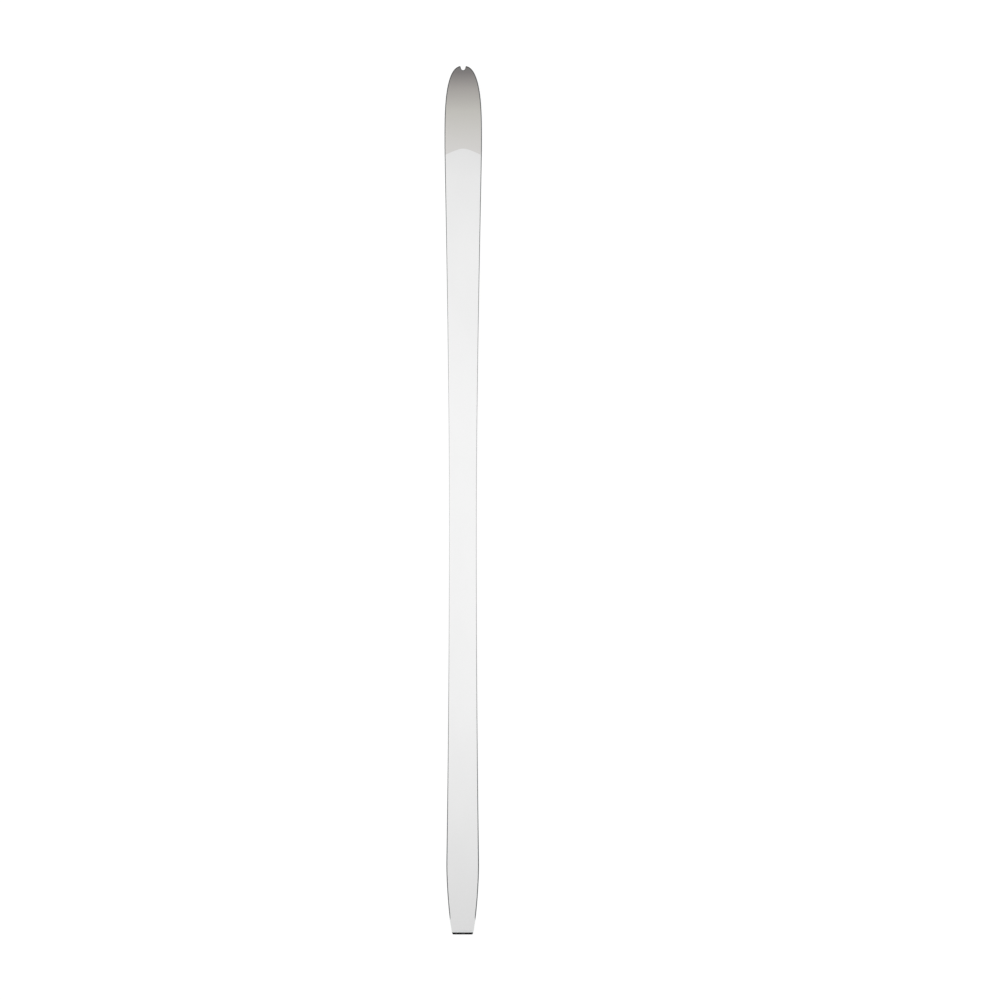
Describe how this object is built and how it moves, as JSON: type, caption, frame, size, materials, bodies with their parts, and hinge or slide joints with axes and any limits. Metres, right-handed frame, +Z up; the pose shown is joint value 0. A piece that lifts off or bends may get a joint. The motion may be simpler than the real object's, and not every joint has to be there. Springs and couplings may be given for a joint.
{
  "type": "cross country ski",
  "caption": "Metal-edged touring cross country ski: waisted body, upturned notched tip with a darker tip piece, squared tail with a protector, laminated core.",
  "frame": {"origin": "on the floor under the middle of the overall length, on the centre line, at the height of the lowest points of the running surface", "axes": "+Y along the ski towards the tip, +X to the right of the skier, +Z up from the running surface to the top sheet"},
  "size_m": [0.086, 1.99, 0.0692],
  "materials": {
    "base": "sintered polyethylene, stone ground",
    "steel_edge": "ground hardened steel",
    "glass_mat": "resin-filled glass mat",
    "damper": "matte rubber foil",
    "glass_laminate": "glass cloth in resin",
    "wood_light": "planed paulownia",
    "wood_dark": "planed poplar",
    "sidewall": "milled plastic",
    "tip_plastic": "milled plastic",
    "tail_plastic": "moulded plastic",
    "alloy": "rolled sheet",
    "topsheet": "glossy pale lacquer",
    "tip_topsheet": "glossy grey fade, darkest at the tip",
    "protector": "moulded black rubber",
    "liner": "moulded dark plastic"
  },
  "bodies": {
    "root": {"base_sheet": "base", "edge_left": "steel_edge", "edge_right": "steel_edge", "flange_filler": "glass_mat", "edge_damper_left": "damper", "edge_damper_right": "damper", "lower_laminate": "glass_laminate", "core_strip_1": "wood_light", "core_strip_2": "wood_dark", "core_strip_3": "wood_light", "core_strip_4": "wood_dark", "core_strip_5": "wood_light", "core_strip_6": "wood_dark", "core_strip_7": "wood_light", "sidewall_left": "sidewall", "sidewall_right": "sidewall", "tip_spacer": "tip_plastic", "tail_spacer": "tail_plastic", "binding_plate": "alloy", "upper_laminate": "glass_laminate", "topsheet": "topsheet", "tip_topsheet": "tip_topsheet", "tail_protector": "protector", "notch_liner": "liner"}
  },
  "joints": []
}
